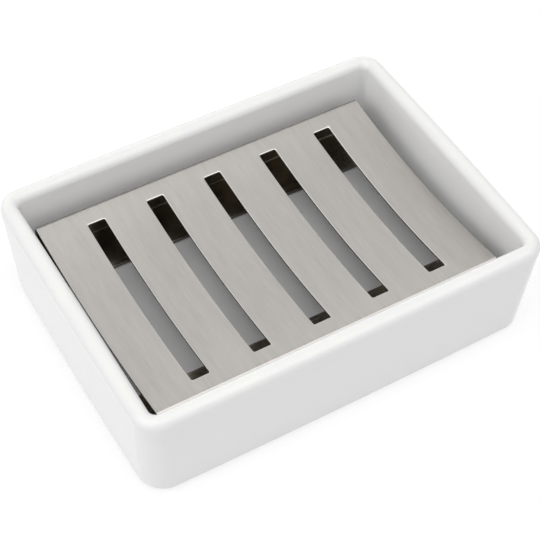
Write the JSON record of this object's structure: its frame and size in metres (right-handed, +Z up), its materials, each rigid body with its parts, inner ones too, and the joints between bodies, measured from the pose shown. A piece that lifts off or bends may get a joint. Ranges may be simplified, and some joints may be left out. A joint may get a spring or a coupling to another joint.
{
  "type": "soap dish",
  "caption": "Rectangular glazed ceramic soap dish with rounded corners and a lift-out, slotted, dished steel rack that drains into the tray.",
  "frame": {"origin": "on the table under the middle of the dish", "axes": "+X along the dish, +Y towards its back, +Z up"},
  "size_m": [0.1318, 0.0968, 0.036],
  "materials": {
    "glaze": "glossy white glaze",
    "steel": "satin, brushed along the slots",
    "pad": "matt grey silicone"
  },
  "bodies": {
    "dish": {"dish": "glaze", "pad_front_left": "pad", "pad_front_right": "pad", "pad_back_left": "pad", "pad_back_right": "pad"},
    "rack": {"rack": "steel"}
  },
  "joints": [
    {"name": "rack_lift", "type": "slide", "parent": "dish", "child": "rack", "axis": [0, 0, 1], "range_m": [0, 0.03]}
  ]
}
